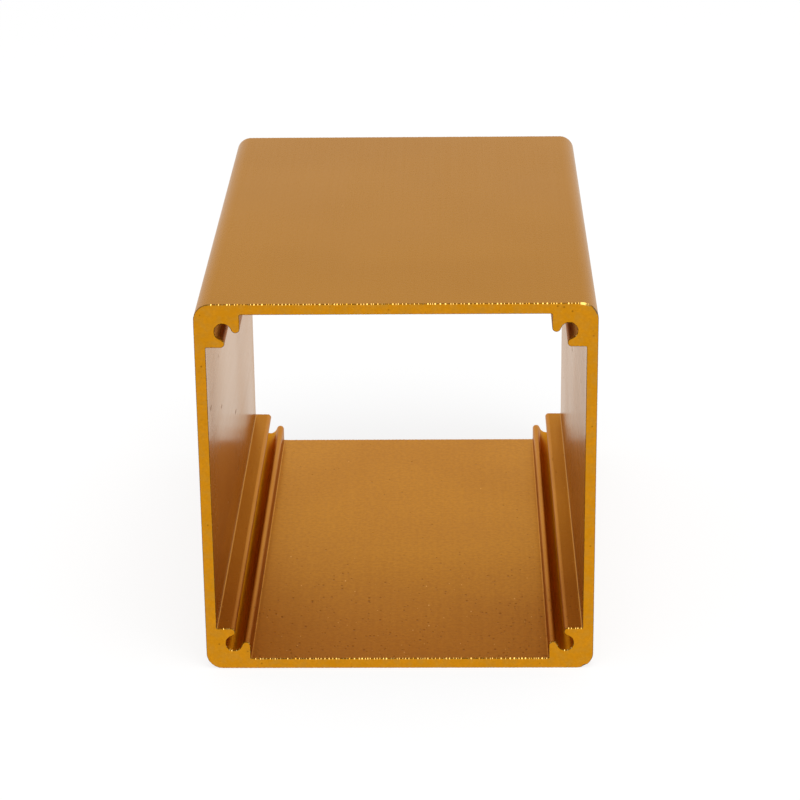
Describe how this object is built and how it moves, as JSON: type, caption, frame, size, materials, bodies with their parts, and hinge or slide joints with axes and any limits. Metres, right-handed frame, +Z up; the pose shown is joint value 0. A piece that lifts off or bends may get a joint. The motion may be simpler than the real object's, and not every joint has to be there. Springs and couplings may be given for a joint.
{
  "type": "extruded enclosure body",
  "caption": "Open-ended square enclosure body of gold anodised aluminium extrusion, with rounded long edges and a flared screw port in every inner corner for end-plate screws.",
  "frame": {"origin": "middle of the bottom face, on the surface that the body stands on", "axes": "+Z up, Y along the extrusion with the pictured end at -Y, X across"},
  "size_m": [0.05, 0.075, 0.05],
  "materials": {
    "gold_anodised_aluminium": "satin gold anodised"
  },
  "bodies": {
    "root": {"extruded_body": "gold_anodised_aluminium"}
  },
  "joints": []
}
